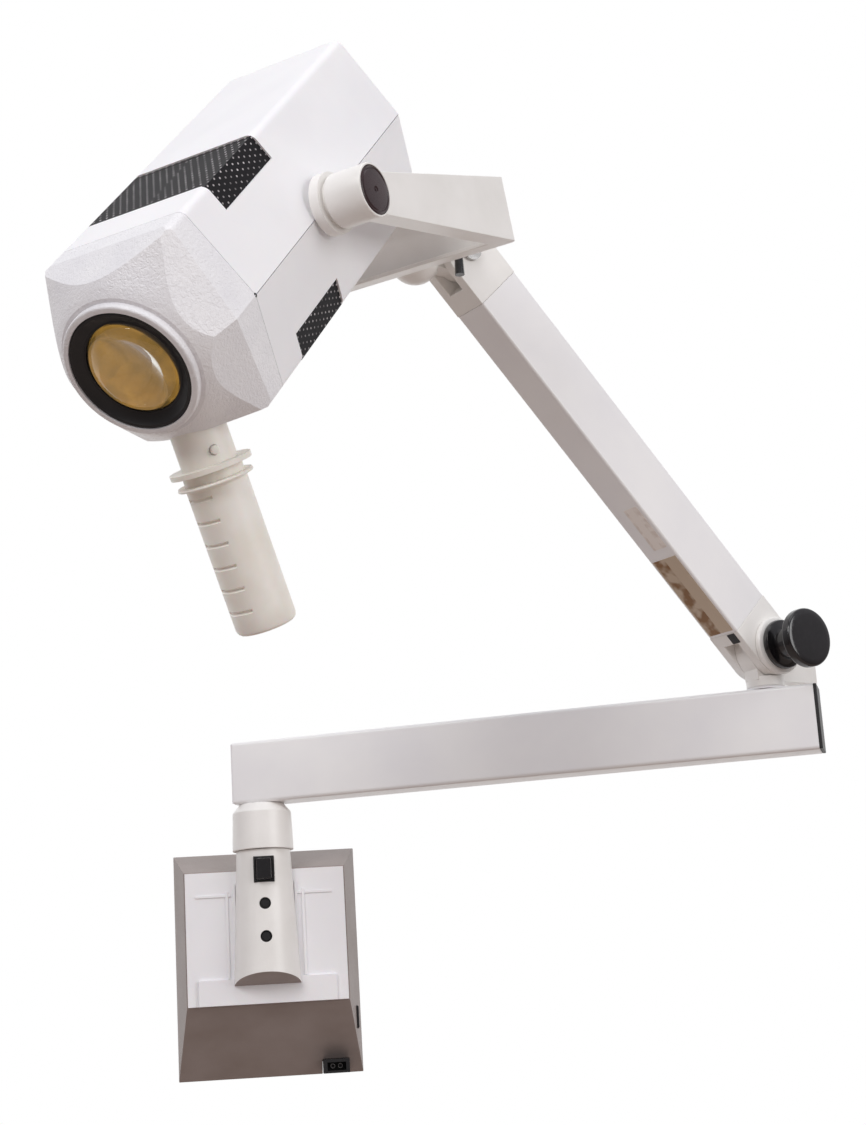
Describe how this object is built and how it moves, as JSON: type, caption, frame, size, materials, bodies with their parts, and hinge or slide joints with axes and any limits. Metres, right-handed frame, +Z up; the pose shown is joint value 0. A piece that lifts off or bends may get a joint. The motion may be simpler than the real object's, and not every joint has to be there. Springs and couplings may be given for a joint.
{
  "type": "examination lamp",
  "caption": "Wall mounted examination lamp: bracket with swing arm, tilting boom and a yoke that carries a vented spot head with a lens and a pull-off handle.",
  "frame": {"origin": "middle of the wall plate back face, in the wall plane", "axes": "+Z up, -Y out from the wall towards the user, +X to the right seen from the front"},
  "size_m": [0.543, 0.6474, 0.6509],
  "materials": {
    "white_enamel_casting": "satin",
    "white_enamel_tube": "satin",
    "taupe_enamel": "satin",
    "white_plastic": "satin",
    "ivory_plastic": "satin",
    "cowl_plastic": "textured",
    "black_plastic": "satin",
    "black_gloss": "gloss",
    "black_vent_metal": "matte",
    "brown_cap_plastic": "satin",
    "bare_steel": "machined",
    "spring_steel": "drawn",
    "bronze_bush": "machined",
    "iron_core": "varnished",
    "lens_glass": "clear",
    "filter_glass": "clear",
    "bulb_glass": "clear",
    "gold_reflector": "bright",
    "ceramic": "matte",
    "label_film": "printed blank"
  },
  "bodies": {
    "bracket": {"wall_plate": "bare_steel", "bracket_housing": "taupe_enamel", "bracket_cover": "white_plastic", "socket_column": "white_enamel_casting", "switch_frame": "black_plastic", "fuse_holders": "black_plastic", "cord_inlet": "black_plastic", "side_grommet": "black_plastic", "transformer": "iron_core", "swing_bush": "bronze_bush"},
    "switch": {"rocker_switch": "black_gloss"},
    "fuse_upper": {"fuse_cap_upper": "black_plastic"},
    "fuse_lower": {"fuse_cap_lower": "black_plastic"},
    "arm": {"swing_spindle": "bare_steel", "swing_collar": "white_enamel_casting", "extension_tube": "white_enamel_tube", "inner_end_cap": "white_plastic", "outer_end_cap": "black_plastic", "elbow_bush": "bronze_bush"},
    "elbow": {"elbow_spindle": "white_enamel_casting", "elbow_post": "white_enamel_casting", "elbow_pin": "bare_steel", "knob_washer": "white_plastic"},
    "knob": {"tension_knob": "black_gloss"},
    "boom": {"boom_tube": "white_enamel_tube", "boom_lower_end": "white_enamel_casting", "boom_upper_end": "white_enamel_casting", "balance_spring": "spring_steel", "spring_rod": "bare_steel", "label_small": "label_film", "label_large": "label_film"},
    "knuckle": {"knuckle_hub": "white_enamel_casting", "knuckle_pin": "bare_steel", "swivel_stud": "bare_steel"},
    "clamp": {"clamp_lever": "black_plastic"},
    "yoke": {"yoke_frame": "white_enamel_casting", "yoke_boss": "white_enamel_casting", "swivel_bush": "bronze_bush", "pivot_barrel_right": "white_enamel_casting", "pivot_barrel_left": "white_enamel_casting", "pivot_cap_right": "brown_cap_plastic", "pivot_cap_left": "brown_cap_plastic"},
    "head": {"pivot_shaft_right": "white_enamel_casting", "pivot_shaft_left": "white_enamel_casting", "head_shell_upper": "white_plastic", "head_shell_lower": "white_plastic", "upper_grille": "black_vent_metal", "lower_grille": "black_vent_metal", "front_cowl": "cowl_plastic", "lens_bezel": "black_plastic", "lens": "lens_glass", "reflector": "gold_reflector", "bulb": "bulb_glass", "bulb_socket": "ceramic", "heat_filter": "filter_glass", "lamp_carrier": "bare_steel", "handle_stem": "white_plastic"},
    "latch": {"handle_button": "white_plastic"},
    "handle": {"handle_grip": "ivory_plastic"}
  },
  "joints": [
    {"name": "arm_swing", "type": "hinge", "parent": "bracket", "child": "arm", "pos_m": [0, -0.065, 0.1487], "axis": [0, 0, 1], "range_deg": [-158, 18]},
    {"name": "elbow_swivel", "type": "hinge", "parent": "arm", "child": "elbow", "pos_m": [0.38632, -0.2079, 0.1487], "axis": [0, 0, 1], "range_deg": [-150, 150]},
    {"name": "boom_tilt", "type": "hinge", "parent": "elbow", "child": "boom", "pos_m": [0.38632, -0.2079, 0.2055], "axis": [-0.5, 0.866, 0], "range_deg": [-40, 34]},
    {"name": "tension_knob_turn", "type": "hinge", "parent": "elbow", "child": "knob", "pos_m": [0.38632, -0.2079, 0.2055], "axis": [-0.5, 0.866, 0], "range_deg": [-180, 180]},
    {"name": "knuckle_tilt", "type": "hinge", "parent": "boom", "child": "knuckle", "pos_m": [0.15582, -0.34098, 0.47729], "axis": [-0.5, 0.866, 0], "range_deg": [-40, 35]},
    {"name": "clamp_lever_turn", "type": "hinge", "parent": "knuckle", "child": "clamp", "pos_m": [0.14023, -0.34998, 0.47729], "axis": [-0.5, 0.866, 0], "range_deg": [-70, 0]},
    {"name": "yoke_swivel", "type": "hinge", "parent": "knuckle", "child": "yoke", "pos_m": [0.12291, -0.35998, 0.47729], "axis": [0, 0, 1], "range_deg": [-110, 30]},
    {"name": "head_tilt", "type": "hinge", "parent": "yoke", "child": "head", "pos_m": [0.00377, -0.51615, 0.42221], "axis": [-0.795, 0.6065, 0], "range_deg": [-60, 60]},
    {"name": "switch_rock", "type": "hinge", "parent": "bracket", "child": "switch", "pos_m": [0, -0.088, 0.0698], "axis": [1, 0, 0], "range_deg": [-14, 0]},
    {"name": "fuse_upper_turn", "type": "hinge", "parent": "bracket", "child": "fuse_upper", "pos_m": [0, -0.065, 0.043], "axis": [0, -1, 0], "range_deg": [-90, 0]},
    {"name": "fuse_lower_turn", "type": "hinge", "parent": "bracket", "child": "fuse_lower", "pos_m": [0, -0.065, 0.0173], "axis": [0, -1, 0], "range_deg": [-90, 0]},
    {"name": "latch_press", "type": "slide", "parent": "head", "child": "latch", "axis": [-0.3311, 0.8998, 0.2841], "range_m": [0, 0.002], "stiffness_N_per_m": 400, "springref_m": -0.002},
    {"name": "handle_pull", "type": "slide", "parent": "head", "child": "handle", "axis": [0.2931, 0.3842, -0.8755], "range_m": [0, 0.045]}
  ]
}
